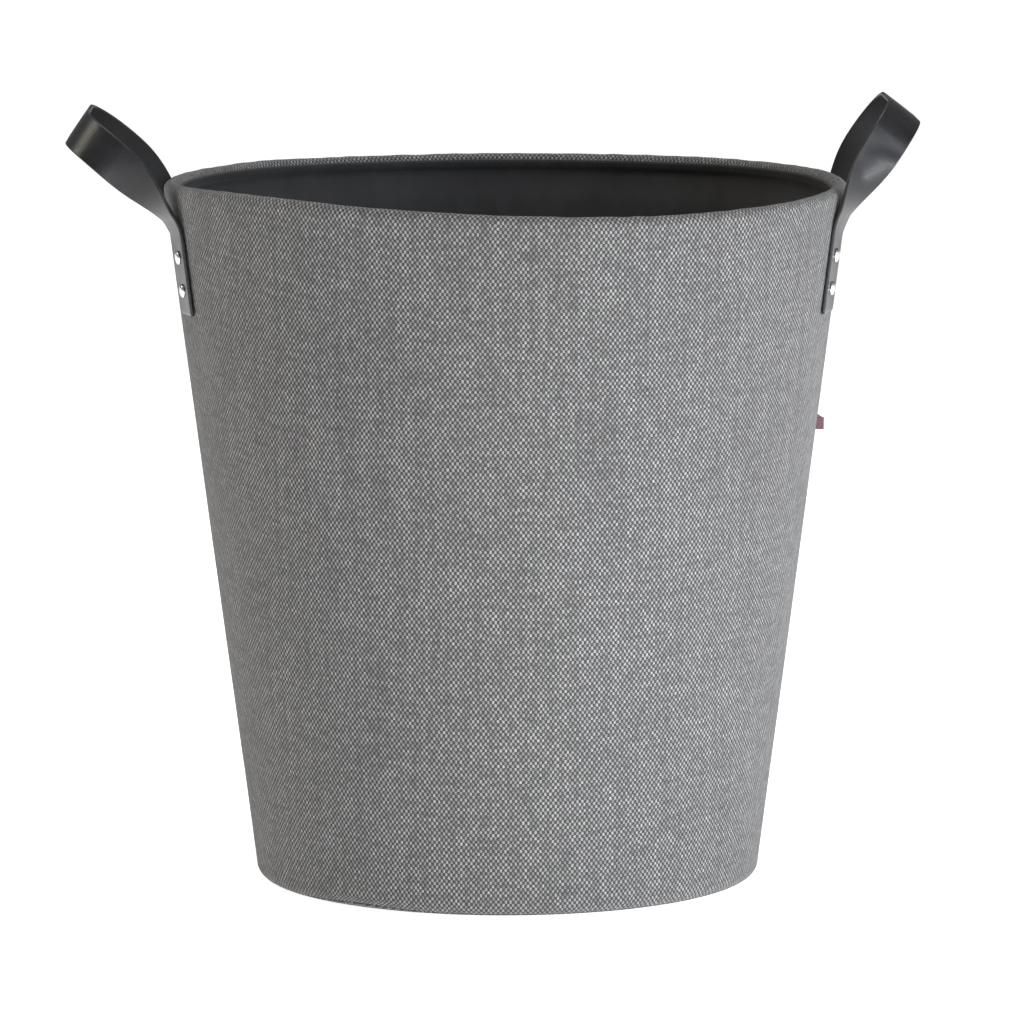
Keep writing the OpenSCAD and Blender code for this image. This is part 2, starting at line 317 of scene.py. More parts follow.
def woven_fabric():
    """Plain weave of black warp and white weft, with uneven yarns, soft streaks and painted shade
    between the yarns.
    """
    n = Nodes("woven_fabric")
    cut = n.cut()
    # Yarns wander a little from their lines
    drift = n.tree.nodes.new("ShaderNodeTexNoise")
    n.put(drift.inputs["Vector"], cut)
    drift.inputs["Scale"].default_value = 170
    drift.inputs["Detail"].default_value = 1
    threads = n.stretched(cut, (1 / WARP_PITCH, 1 / WEFT_PITCH, 0))
    wander = n.add(
        "VectorMath", drift.outputs["Color"], (0.9, 0.7, 0), threads, operation="MULTIPLY_ADD"
    )
    split = n.add("SeparateXYZ", wander.outputs[0])
    x, y = split.outputs[0], split.outputs[1]
    column, row = n.math("ROUND", x), n.math("ROUND", y)
    turn_x, turn_y = n.math("MULTIPLY", x, math.pi), n.math("MULTIPLY", y, math.pi)
    side_column = n.math("COSINE", n.math("MULTIPLY", column, math.pi))
    side_row = n.math("COSINE", n.math("MULTIPLY", row, math.pi))

    def crest(offset, width):
        """Round cross-section of a yarn, from its middle line outwards."""
        share = n.math("DIVIDE", offset, width / 2)
        return n.math("SQRT", n.math("SUBTRACT", 1, n.math("POWER", share, 2), clamp=True))

    weft_wave = n.math("MULTIPLY", n.math("COSINE", turn_x), side_row)
    warp_wave = n.math("MULTIPLY", n.math("MULTIPLY", n.math("COSINE", turn_y), side_column), -1)
    weft = n.math("MULTIPLY_ADD", crest(n.math("SUBTRACT", y, row), 1.1), 0.55, weft_wave)
    warp = n.math("MULTIPLY_ADD", crest(n.math("SUBTRACT", x, column), 1.1), 0.55, warp_wave)
    height = n.math("MAXIMUM", weft, warp)
    is_weft = n.between(n.math("SUBTRACT", weft, warp), -0.25, 0.35)

    # Each dot of weft has its own brightness; rows and columns have thick and thin stretches
    cell = n.add("CombineXYZ", column, row, 0.0).outputs[0]
    dot = n.tree.nodes.new("ShaderNodeTexWhiteNoise")
    n.put(dot.inputs["Vector"], cell)
    dots = n.between(dot.outputs["Value"], 0, 1, 0.7, 1.15)
    slubs = n.between(n.noise(n.stretched(cut, (45, 420, 0)), detail=3), 0.3, 0.7, 0.8, 1.2)
    streaks = n.between(n.noise(n.stretched(cut, (210, 9, 0)), detail=3), 0.3, 0.7, 0.86, 1.14)
    clouds = n.between(n.noise(cut, scale=14, detail=2), 0.3, 0.7, 0.94, 1.06)
    fibres = n.between(n.noise(n.stretched(cut, (5200, 5200, 0)), detail=1), 0.3, 0.7, 0.85, 1.12)
    light = n.math("MULTIPLY", n.math("MULTIPLY", dots, slubs), n.math("MULTIPLY", streaks, clouds))
    light = n.math("MULTIPLY", light, fibres)
    # Painted shade: both yarns are painted darker, down to 0.45, where the weave sinks between them
    hollow_shade = n.between(height, 0.1, 1.3, 0.45, 1.0)
    white = n.shade((0.246, 0.243, 0.238), n.math("MULTIPLY", light, hollow_shade))
    black = n.shade((0.05, 0.049, 0.049), hollow_shade)
    colour = n.mix(is_weft, black, white)
    rough = n.between(n.noise(cut, scale=900, detail=2), 0.3, 0.7, 0.78, 0.95)
    n.bump(n.math("ADD", height, n.math("MULTIPLY", fibres, 0.3)), 0.25 * MM, 0.7)
    return n.finish(colour, rough, specular=0.25, sheen=0.12)


def lining_cloth():
    """Smooth black lining of fine twill, with faint rub marks."""
    n = Nodes("lining")
    cut = n.cut()
    split = n.add("SeparateXYZ", n.stretched(cut, (1 / TWILL_PITCH, 1 / TWILL_PITCH, 0)))
    slant = n.math("ADD", split.outputs[0], split.outputs[1])
    twill = n.math("SINE", n.math("MULTIPLY", slant, 2 * math.pi))
    threads = n.math("SINE", n.math("MULTIPLY", split.outputs[0], 4 * math.pi))
    height = n.math("MULTIPLY_ADD", threads, 0.35, twill)
    rubs = n.between(n.noise(n.stretched(cut, (30, 12, 0)), detail=4, roughness=0.65), 0.35, 0.7)
    lint = n.between(n.noise(cut, scale=1500, detail=2), 0.6, 0.75, 0, 0.012)
    colour = n.mix(rubs, (0.034, 0.034, 0.035, 1), (0.054, 0.054, 0.056, 1))
    colour = n.mix(lint, colour, (0.6, 0.6, 0.6, 1))
    rough = n.between(rubs, 0, 1, 0.62, 0.78)
    n.bump(height, 0.06 * MM, 0.5)
    return n.finish(colour, rough, specular=0.2, sheen=0.15)


def strap_leather():
    """Black leather: grained outer face, rougher flesh side and rounded, polished edges."""
    n = Nodes("leather")
    cut = n.cut()
    inner = n.tree.nodes.new("ShaderNodeAttribute")
    inner.attribute_name = "flesh_side"
    edge = n.tree.nodes.new("ShaderNodeAttribute")
    edge.attribute_name = "strap_edge"
    cells = n.tree.nodes.new("ShaderNodeTexVoronoi")
    cells.feature = "DISTANCE_TO_EDGE"
    n.put(cells.inputs["Vector"], cut)
    cells.inputs["Scale"].default_value = 900
    grain = n.between(cells.outputs["Distance"], 0, 0.25)
    creases = n.noise(n.stretched(cut, (260, 60, 0)), detail=4, roughness=0.6)
    nap = n.noise(cut, scale=2600, detail=3)
    patches = n.noise(n.stretched(cut, (40, 25, 0)), detail=3)
    face = n.mix(n.between(patches, 0.35, 0.7), (0.011, 0.011, 0.0125, 1), (0.021, 0.0205, 0.0235, 1))
    flesh = n.mix(nap, (0.008, 0.008, 0.009, 1), (0.018, 0.018, 0.018, 1))
    colour = n.mix(inner.outputs["Fac"], face, flesh)
    worn = n.math("MULTIPLY", edge.outputs["Fac"], n.between(creases, 0.35, 0.6, 0.2, 0.7))
    colour = n.mix(worn, colour, (0.03, 0.03, 0.031, 1))
    rough_face = n.between(patches, 0.3, 0.7, 0.26, 0.38)
    rough = n.add("Mix", data_type="FLOAT")
    n.put(rough.inputs[0], inner.outputs["Fac"])
    n.put(rough.inputs[2], rough_face)
    n.put(rough.inputs[3], 0.72)
    height = n.math("MULTIPLY_ADD", grain, 0.35, n.math("MULTIPLY", creases, 1.1))
    height = n.math("MULTIPLY_ADD", nap, 0.25, height)
    n.bump(height, 0.12 * MM, 0.5)
    return n.finish(colour, rough.outputs[0], specular=0.36)


def rivet_steel():
    """Bright nickel plate with fine round brushing and small marks."""
    n = Nodes("rivet_steel")
    place = n.place()
    marks = n.noise(place, scale=1400, detail=4, roughness=0.7)
    dull = n.noise(place, scale=260, detail=3)
    colour = n.mix(n.between(dull, 0.35, 0.7), (0.80, 0.80, 0.81, 1), (0.66, 0.66, 0.67, 1))
    rough = n.between(marks, 0.3, 0.7, 0.16, 0.34)
    n.bump(marks, 0.03 * MM, 0.4)
    return n.finish(colour, rough, metallic=1.0)


def label_ribbon():
    """Burgundy ribbon with fine ribs along its width."""
    n = Nodes("label")
    split = n.add("SeparateXYZ", n.stretched(n.cut(), (1 / (0.45 * MM), 1 / (0.3 * MM), 0)))
    ribs = n.math("SINE", n.math("MULTIPLY", split.outputs[1], 2 * math.pi))
    ends = n.math("SINE", n.math("MULTIPLY", split.outputs[0], 2 * math.pi))
    mottled = n.noise(n.cut(), scale=900, detail=3)
    height = n.math("MULTIPLY_ADD", ends, 0.4, ribs)
    colour = n.mix(n.between(mottled, 0.3, 0.7), (0.11, 0.04, 0.058, 1), (0.17, 0.075, 0.1, 1))
    n.bump(height, 0.05 * MM, 0.5)
    return n.finish(colour, n.between(height, -1.4, 1.4, 0.7, 0.5), specular=0.35, sheen=0.2)


def grey_board():
    n = Nodes("board")
    place = n.place()
    fibres = n.noise(n.stretched(place, (500, 500, 90)), detail=5, roughness=0.7)
    flecks = n.between(n.noise(place, scale=700, detail=2), 0.62, 0.7)
    colour = n.mix(fibres, (0.36, 0.28, 0.18, 1), (0.52, 0.42, 0.29, 1))
    colour = n.mix(flecks, colour, (0.16, 0.12, 0.08, 1))
    n.bump(fibres, 0.15 * MM, 0.4)
    return n.finish(colour, n.between(fibres, 0.3, 0.7, 0.8, 0.95), specular=0.2)


def hoop_plastic():
    n = Nodes("hoop_plastic")
    draw_lines = n.noise(n.stretched(n.place(), (900, 900, 2500)), detail=3)
    colour = n.mix(draw_lines, (0.016, 0.016, 0.016, 1), (0.028, 0.028, 0.028, 1))
    n.bump(draw_lines, 0.04 * MM, 0.4)
    return n.finish(colour, n.between(draw_lines, 0.3, 0.7, 0.42, 0.58), specular=0.4)


def black_thread():
    n = Nodes("thread")
    twist = n.tree.nodes.new("ShaderNodeTexWave")
    n.put(twist.inputs["Vector"], n.place())
    twist.inputs["Scale"].default_value = 900
    twist.inputs["Distortion"].default_value = 2
    strands = twist.outputs["Fac"]
    # Painted shade: the thread is painted darker in the grooves of its twist, where the bump sinks
    colour = n.mix(strands, (0.012, 0.012, 0.013, 1), (0.035, 0.035, 0.038, 1))
    n.bump(strands, 0.05 * MM, 0.5)
    return n.finish(colour, n.between(strands, 0, 1, 0.5, 0.7), specular=0.4)


def pale_floor():
    n = Nodes("floor")
    soft = n.noise(n.place(), scale=3, detail=3)
    colour = n.mix(soft, (0.88, 0.88, 0.885, 1), (0.9, 0.9, 0.905, 1))
    n.shader.inputs["Emission Color"].default_value = (1, 1, 1, 1)
    n.shader.inputs["Emission Strength"].default_value = 0.83
    return n.finish(colour, n.between(soft, 0, 1, 0.7, 0.8), specular=0.2)


# ---- Cloth on the bin ----

PANELS = {"front": -90.0, "rear": 90.0}
ALL_ROUND = np.linspace(-180, 180, 361)
CENTRE_HOLE = 4 * MM
WALL_MID_R = 190 * MM
FLOOR_MID_R = 140 * MM

# Columns of a panel near its side seams, in mm from the seam, and between them
EDGE_COLUMNS = (0.0, 0.15, 0.5, 1.0, 1.6, 2.4, 3.4)
PANEL_COLUMNS = 250

# Base seam: its angle on the base edge, and where it rises, as (azimuth, width, share)
SEAM_LOW = -64
SEAM_RISE = 26
SEAM_RISES = ((-126, 14, 1.0), (40, 30, 0.5))
SEAM_WAVE = 2.0

# Turned-in edges at the base seam, as (degrees from the seam, depth in mm)
COVER_TURN_IN = ((4.0, 1.3), (2.4, 1.0), (2.6, 0.6), (4.0, 0.25), (6.5, 0.04))
COVER_FROM_SEAM = 9.0
BASE_TURN_IN = ((-3.4, 0.12), (-2.4, 0.45), (-2.2, 0.95), (-4.0, 1.3))
BASE_FROM_SEAM = -5.0

# Sway of the soft rim, in mm: bumps as (height, degrees round from the front, width), then
# steps behind as (height, start, run)
RIM_BUMPS = ((3.7, -52, 27), (-5.0, 28, 40))
RIM_STEPS = ((0.9, 85, 25), (-1.1, 125, 40))
RIM_MEAN = -1.0
SWAY_FOOT_Z = 240 * MM


def seam_angle(azimuth):
    """Angle on the base edge of the seam, in degrees, which rises in places."""
    rise = sum(part * np.exp(-((azimuth - at) / width) ** 2) for at, width, part in SEAM_RISES)
    return SEAM_LOW + SEAM_RISE * rise + SEAM_WAVE * np.sin(7 * np.radians(azimuth) + 1.0)


def panel_azimuths(centre):
    """Azimuths across a half panel, close together at its two side seams."""
    edge = np.degrees(np.array(EDGE_COLUMNS) * MM / RIM_R)
    middle = np.linspace(edge[-1], 180 - edge[-1], PANEL_COLUMNS)
    spread = np.concatenate([edge[:-1], middle, (180 - edge[:-1])[::-1]])
    return centre - 90 + spread


def from_seam(azimuth, centre, radius):
    """Distance round the bin from the nearer side seam."""
    return (90 - np.abs(azimuth - centre)) * math.pi / 180 * radius


def revolve(section, azimuths):
    """The grid of a section, [radius, height], turned through the azimuths."""
    radius, height = section[..., 0], section[..., 1]
    turn = np.radians(azimuths)[None, :]
    return np.stack([radius * np.cos(turn), radius * np.sin(turn), height], -1)


def raised(points, rise):
    """The points of a whole turn moved up, with the first and last columns in one place."""
    points = points + rise[..., None] * np.array([0, 0, 1])
    points[:, -1] = points[:, 0]
    return points


def developed(lengths, azimuths, centre):
    """Place on the flat cut: a cone's wall rolled out about its point."""
    slant = BASE_R / math.sin(TILT)
    rho = slant + lengths[:, None] + 0 * azimuths[None, :]
    turn = np.radians(azimuths - centre)[None, :] * math.sin(TILT)
    return np.stack([rho * np.sin(turn), rho * np.cos(turn) - slant], -1)


def rim_sway(azimuth):
    """Height of the soft rim above its level line, at an azimuth in degrees."""
    from_front = (np.asarray(azimuth) + 270) % 360 - 180
    behind = np.abs(from_front)
    bumps = sum(high * np.exp(-((from_front - at) / width) ** 2) for high, at, width in RIM_BUMPS)
    steps = sum(high * smooth((behind - start) / run) for high, start, run in RIM_STEPS)
    return (bumps + steps + RIM_MEAN) * MM


def swayed(points, azimuths):
    """The points with the rim's sway, which dies out down the wall."""
    share = smooth((points[..., 2] - SWAY_FOOT_Z) / (BIN_H - 10 * MM - SWAY_FOOT_Z))
    points[..., 2] += rim_sway(azimuths)[None, :] * share
    return points


def broadcast(section, columns):
    section = np.asarray(section, float)
    return np.repeat(section[:, None, :], columns, 1)


def cover_panel(side):
    """Half of the wall cover: turned in at the base seam, up, over the lip and down as the hem."""
    centre = PANELS[side]
    azimuths = panel_azimuths(centre)
    low = seam_angle(azimuths)
    upright = -math.degrees(TILT)
    rows = [
        [arc_point(EDGE_C, EDGE_R - depth * MM, a + more) for a in low]
        for more, depth in COVER_TURN_IN
    ]
    for share in np.linspace(0, 1, 10):
        turns = [(a + COVER_FROM_SEAM) * (1 - share) + upright * share for a in low]
        rows.append([arc_point(EDGE_C, EDGE_R, turn) for turn in turns])
    wall = line(rows[-1][0], arc_point(LIP_C, LIP_R, upright), 130)
    lip = arc(LIP_C, LIP_R, upright, HEM_ANGLE, 26)[1:]
    hem_top = at_depth(HEM_TOP_Z, HEM_FACE)
    hem = [hem_top] + line(hem_top, at_depth(HEM_Z, HEM_FACE), 6)
    fixed = broadcast(wall + lip + hem, len(azimuths))
    section = np.concatenate([np.array(rows), fixed], 0)

    middle = section[:, len(azimuths) // 2]
    lengths = section_lengths(middle)
    normals = broadcast(section_normals(middle), len(azimuths))
    bare = revolve(section, azimuths)

    away = from_seam(azimuths, centre, RIM_R)[None, :]
    z = section[..., 1]
    outside = smooth((z - 3 * MM) / (6 * MM)) * smooth(1 - (middle_arc(section) - 0.6) / 0.4)
    pull = ripple(bare, (0.07, 0.07, 0.16), 1) * 0.22 * MM
    pull = pull + ripple(bare, (0.018, 0.018, 0.05), 2) * 0.07 * MM
    lip_zone = smooth((z - (BIN_H - 14 * MM)) / (8 * MM))
    knobs = ripple(bare, (0.009, 0.009, 0.006), 3) * 0.22 * MM * lip_zone
    pucker = ripple(bare, (0.02, 0.02, 0.006), 4) * 0.2 * MM * np.exp(-away / (5 * MM))
    dip = -1.15 * MM * np.clip(1 - away / (2.0 * MM), 0, 1) ** 2.2
    lift = (pull + knobs) * outside + (pucker + dip) * smooth((z - 1 * MM) / (4 * MM))
    lift = np.minimum(lift, 0.6 * MM)
    points = swayed(revolve(section + normals * lift[..., None], azimuths), azimuths)
    obj = grid_mesh(f"cover_{side}", points, developed(lengths, azimuths, centre))
    return finish_piece(obj, FABRIC, nodes=["outer_cover"])


def arc_point(centre, radius, degrees):
    a = math.radians(degrees)
    return (centre[0] + radius * math.cos(a), centre[1] + radius * math.sin(a))


def middle_arc(section):
    """How far a point has gone over the lip: 0 on the outside, 1 on the inside."""
    inward = (LIP_C[0] - section[..., 0]) / LIP_R
    return np.where(section[..., 1] > BIN_H - 3 * LIP_R, smooth(0.5 + 0.5 * inward), 0)


def base_panel():
    """Underside panel, turned up at its edge to the seam."""
    low = seam_angle(ALL_ROUND)
    rings = np.linspace(CENTRE_HOLE, EDGE_C[0], 46)
    rows = [[(r, 0.0) for _ in low] for r in rings]
    for share in np.linspace(0.12, 1, 8):
        turns = [(a + BASE_FROM_SEAM + 90) * share - 90 for a in low]
        rows.append([arc_point(EDGE_C, EDGE_R, turn) for turn in turns])
    for more, depth in BASE_TURN_IN:
        rows.append([arc_point(EDGE_C, EDGE_R - depth * MM, a + more) for a in low])
    section = np.array(rows)
    bare = revolve(section, ALL_ROUND)
    flat = 1 - smooth((section[..., 0] - 120 * MM) / (20 * MM))
    rise = np.clip(0.55 + 0.45 * ripple(bare, (0.05, 0.05, 0.05), 5), 0.02, 1) * 0.5 * MM * flat
    points = raised(bare, rise)
    obj = grid_mesh("base_panel", points, bare[..., :2])
    close_centre(obj, points[0, :-1])
    return finish_piece(obj, FABRIC, nodes=["base_cover"])


def weld(obj):
    """Joins a turned piece's first and last columns."""
    bm = bmesh.new()
    bm.from_mesh(obj.data)
    bmesh.ops.remove_doubles(bm, verts=bm.verts, dist=1e-6)
    bmesh.ops.recalc_face_normals(bm, faces=bm.faces)
    bm.to_mesh(obj.data)
    bm.free()


def close_centre(obj, ring):
    """Welds the grid's two meeting columns and fills the small hole at its middle."""
    bm = bmesh.new()
    bm.from_mesh(obj.data)
    bmesh.ops.remove_doubles(bm, verts=bm.verts, dist=1e-6)
    uv = bm.loops.layers.uv["cut"]
    count = len(ring)
    bm.verts.ensure_lookup_table()
    around = sorted(bm.verts, key=lambda v: v.co.x ** 2 + v.co.y ** 2)[:count]
    around.sort(key=lambda v: math.atan2(v.co.y, v.co.x))
    centre = bm.verts.new(sum((v.co for v in around), Vector()) / count)
    for i in range(count):
        face = bm.faces.new((centre, around[i], around[(i + 1) % count]))
        face.smooth = True
        for loop in face.loops:
            loop[uv].uv = loop.vert.co.xy
    bmesh.ops.recalc_face_normals(bm, faces=bm.faces)
    bm.to_mesh(obj.data)
    bm.free()


def wall_lining(side):
    """Half of the wall lining, from the lip's inner face over the hem and down to the floor."""
    centre = PANELS[side]
    azimuths = panel_azimuths(centre)
    reach = GAP + LINING_T
    edge = [
        arc_point(LIP_C, LIP_R + depth * MM, LINING_ANGLE + more)
        for more, depth in ((5, 0.05), (0.5, 0.2), (0, 0.5))
    ]
    lip = arc(LIP_C, LIP_R + reach, LINING_ANGLE + 2, HEM_ANGLE, 10)
    hem_top = at_depth(HEM_TOP_Z, HEM_FACE + reach)
    hem_end = at_depth(HEM_Z, HEM_FACE + reach)
    step_end = at_depth(HEM_Z - LINING_STEP, BOARD_FACE + reach)
    foot = at_depth(WALL_FOOT_Z + 1.4 * MM, BOARD_FACE + reach)
    wall = [hem_top] + line(hem_top, hem_end, 6)
    wall += line(hem_end, step_end, 5) + line(step_end, foot, 110)
    middle = np.array(edge + lip + wall)
    section = broadcast(middle, len(azimuths))
    normals = broadcast(section_normals(middle), len(azimuths))
    clear = clear_of_caps(revolve(section, azimuths))
    z = section[..., 1]
    turn = np.radians(azimuths)[None, :] + 0 * z
    below = smooth((BIN_H - 10 * MM - z) / (30 * MM)) * smooth((z - 8 * MM) / (20 * MM))
    round_bin = np.stack([turn * WALL_MID_R, z, 0 * z], -1)
    folds = ripple(round_bin, (0.016, 0.30, 1), 6) + 0.5 * ripple(round_bin, (0.034, 0.12, 1), 7)
    slack = np.clip(folds - 0.15, 0, 1) ** 1.3
    more_right = 0.45 + 0.55 * smooth(0.5 + 0.6 * np.cos(turn - 0.6))
    drape = slack * 1.9 * MM * below * more_right * clear
    waves = (0.5 + 0.5 * ripple(round_bin, (0.07, 0.07, 1), 8)) * 0.5 * MM * below * clear
    upper = smooth((BIN_H - 6 * MM - z) / (8 * MM)) * (1 - below)
    gathers = (0.5 + 0.5 * ripple(round_bin, (0.011, 0.03, 1), 9)) * 0.3 * MM * upper
    away = from_seam(azimuths, centre, RIM_R)[None, :] + 0 * z
    dip = np.clip(1 - away / (1.4 * MM), 0, 1) ** 2 * smooth((BIN_H - 8 * MM - z) / (4 * MM))
    lift = drape + waves + gathers - 0.6 * MM * dip
    points = swayed(revolve(section + normals * lift[..., None], azimuths), azimuths)
    cut = developed(section_lengths(middle), azimuths, centre)
    obj = grid_mesh(f"lining_{side}", points, cut)
    return finish_piece(obj, LINING, nodes=["wall_lining"])


def leg_azimuths():
    return {
        "right_front": -LEG_AZ,
        "right_rear": LEG_AZ,
        "left_rear": math.pi - LEG_AZ,
        "left_front": math.pi + LEG_AZ,
    }


def on_wall(azimuth, out, across, up):
    """A place on the wall, measured from the flex height: out, round and up the wall."""
    x = wall_r(FLEX_Z) + out * math.cos(TILT) + up * math.sin(TILT)
    z = FLEX_Z - out * math.sin(TILT) + up * math.cos(TILT)
    return Vector((
        x * math.cos(azimuth) - across * math.sin(azimuth),
        x * math.sin(azimuth) + across * math.cos(azimuth),
        z,
    ))


def clear_of_caps(points):
    """1 away from the rivets' inner caps and 0 at them, where the lining lies flat."""
    depth, flat_r, run = 4.6 * MM, 6 * MM, 10 * MM
    keep = np.ones(points.shape[:-1])
    for azimuth in leg_azimuths().values():
        for row in RIVET_ROWS:
            cap = np.array(on_wall(azimuth, -depth, 0, row))
            distance = np.linalg.norm(points - cap, axis=-1)
            keep = keep * smooth((distance - flat_r) / run)
    return keep


def floor_lining():
    """Round floor of the lining, with small gathers at its edge."""
    middle = np.linspace(CENTRE_HOLE, 118 * MM, 40)
    rings = np.concatenate([middle, np.linspace(120 * MM, FLOOR_R, 22)])
    section = broadcast([(r, FLOOR_Z) for r in rings], len(ALL_ROUND))
    radius = section[..., 0]
    bare = revolve(section, ALL_ROUND)
    turn = np.radians(ALL_ROUND)[None, :] + 0 * radius
    ring = np.stack([np.cos(turn) * FLOOR_MID_R, np.sin(turn) * FLOOR_MID_R, radius * 0.25], -1)
    near_edge = smooth((radius - 112 * MM) / (26 * MM))
    waves = (0.5 + 0.5 * ripple(bare, (0.075, 0.075, 1), 10)) * 1.4 * MM * (1 - 0.7 * near_edge)
    gathers = (0.5 + 0.5 * ripple(ring, (0.007, 0.007, 0.02), 11)) * 0.8 * MM * near_edge
    tuck = -0.5 * MM * smooth((radius - (FLOOR_R - 1.2 * MM)) / (1.2 * MM))
    points = raised(bare, waves + gathers + tuck)
    obj = grid_mesh("lining_floor", points, bare[..., :2])
    close_centre(obj, points[0, :-1])
    return finish_piece(obj, LINING, nodes=["base_lining"])


def hoop():
    """Rod in the lip, which follows the rim's sway."""
    ring = arc(LIP_C, HOOP_R, 0, 360, 20)[:-1]
    points = swayed(revolve(broadcast(ring, len(ALL_ROUND)), ALL_ROUND), ALL_ROUND)
    points[:, -1] = points[:, 0]
    obj = grid_mesh("hoop", points, None, closed=True)
    weld(obj)
    finish_piece(obj, PLASTIC, nodes=["rim_hoop"])


def stitches(name, place_at, count, length, thick):
    """A ring of short sewn stitches; place_at gives each one's radius, height and outward tilt."""
    around, along = 7, 7
    vertices, faces = [], []
    for k in range(count):
        middle = 2 * math.pi * (k + 0.5) / count
        faces += [face[::-1] for face in ring_faces(len(vertices), along, around)]
        for share in np.linspace(-1, 1, along):
            turn = middle + share * length / 2 / RIM_R
            radius, height, tilt = place_at(turn)
            swell = thick / 2 * math.sqrt(max(0.02, 1 - share ** 4))
            sink = -thick * 0.45 * share ** 4
            for j in range(around):
                a = 2 * math.pi * j / around
                out, up = swell * math.cos(a) + sink, swell * math.sin(a)
                r = radius + out * math.cos(tilt) - up * math.sin(tilt)
                z = height + out * math.sin(tilt) + up * math.cos(tilt)
                vertices.append((r * math.cos(turn), r * math.sin(turn), z))
    finish_piece(smooth_mesh(name, vertices, faces), THREAD)


def base_stitches():
    """Dark stitches in the crease between the wall cover and the underside panel."""
    def place(turn):
        azimuth = (math.degrees(turn) + 180) % 360 - 180
        angle = float(seam_angle(np.array(azimuth)))
        r, z = arc_point(EDGE_C, EDGE_R - 0.3 * MM, angle)
        return r, z, math.radians(angle)
    stitches("base_seam_stitches", place, count=176, length=5.2 * MM, thick=0.7 * MM)


def rim_stitches():
    """Stitches that hold the lining's top edge to the inside of the lip."""
    def place(turn):
        angle = LINING_ANGLE + 17
        r, z = arc_point(LIP_C, LIP_R + GAP + LINING_T + 0.1 * MM, angle)
        return r, z + float(rim_sway(math.degrees(turn))), math.radians(angle)
    stitches("rim_seam_stitches", place, count=226, length=3.9 * MM, thick=0.55 * MM)


# ---- Straps ----

FLEX_RADIUS = wall_r(FLEX_Z) + LEG_MID * math.cos(TILT)
FLEX_X = FLEX_RADIUS * math.cos(LEG_AZ)
FLEX_Y = FLEX_RADIUS * math.sin(LEG_AZ)
FLEX_H = FLEX_Z - LEG_MID * math.sin(TILT)
BEND_LEN = LOOP_BEND * math.pi / 2
TIP_LEN = 2 * (FLEX_Y - LOOP_BEND)
FLEX_JOIN = 8 * MM

# Strap finish: the square ends are pressed thin, and each rivet dents the leather round it
END_RUN = 0.8 * MM
END_NARROW = 0.02
END_PRESS = 0.2
DENT = 0.35 * MM
DENT_R = 5.2 * MM


def loop_lengths(loop):
    """Length from the flex line to the tip, and length of the whole path."""
    out = loop["reach"] * (loop["curl"] / 2) / math.sin(loop["curl"] / 2)
    return out, 2 * (out - LOOP_BEND + BEND_LEN) + TIP_LEN


def loop_flat(loop, s):
    """Middle line in the loop's own plane: [out from the flex line, across], and its heading."""
    loop_len, path_len = loop_lengths(loop)
    side_len = loop_len - LOOP_BEND
    if s > path_len / 2:
        (out, across), heading = loop_flat(loop, path_len - s)
        return (out, -across), math.pi - heading
    if s <= side_len:
        return (s, -FLEX_Y), 0.0
    if s <= side_len + BEND_LEN:
        a = (s - side_len) / LOOP_BEND
        return (side_len + LOOP_BEND * math.sin(a), -FLEX_Y + LOOP_BEND * (1 - math.cos(a))), a
    return (loop_len, s - path_len / 2), math.pi / 2


def loop_frame(loop, s):
    """Middle point, direction across the width and direction out of the outer face, at s."""
    loop_len, path_len = loop_lengths(loop)
    (out, across), heading = loop_flat(loop, s)
    start = loop["lean"] - loop["curl"] / 2
    a = start + loop["curl"] * out / loop_len
    bend = loop_len / loop["curl"]
    middle = Vector((
        FLEX_X + bend * (math.cos(start) - math.cos(a)),
        across,
        FLEX_H + bend * (math.sin(a) - math.sin(start)),
    ))
    turned = min(s, path_len - s) / TWIST_LEN
    twist = LEG_AZ + (math.pi / 2 - LEG_AZ) * float(smooth(turned))
    along = Vector((math.sin(a), 0, math.cos(a)))
    inward = Vector((-math.cos(a), 0, math.sin(a)))
    outside = along * math.sin(heading) - Vector((0, 1, 0)) * math.cos(heading)
    width = outside * math.cos(twist) + inward * math.sin(twist)
    face = outside * math.sin(twist) - inward * math.cos(twist)
    return middle, width, face


def leg_frame(azimuth, up, end):
    """The same for a flat leg, at that distance up the wall from the flex line."""
    middle = on_wall(azimuth, LEG_MID, 0, up)
    face = on_wall(azimuth, 1, 0, up) - on_wall(azimuth, 0, 0, up)
    width = on_wall(azimuth, 0, 1, up) - on_wall(azimuth, 0, 0, up)
    return middle, width * end, face


def bent_between(low, high, share, length):
    """A frame between two others: a cubic curve for the middle, a turn for the directions."""
    (p, w0, f0), (q, w1, f1) = low, high
    t0, t1 = w0.cross(f0) * length, w1.cross(f1) * length
    if t0.dot(q - p) < 0:
        t0, t1 = -t0, -t1
    t = share
    middle = (
        p * (2 * t ** 3 - 3 * t ** 2 + 1) + t0 * (t ** 3 - 2 * t ** 2 + t)
        + q * (3 * t ** 2 - 2 * t ** 3) + t1 * (t ** 3 - t ** 2)
    )
    k = float(smooth(t))
    face = f0.lerp(f1, k).normalized()
    width = w0.lerp(w1, k)
    width = (width - face * width.dot(face)).normalized()
    return middle, width, face


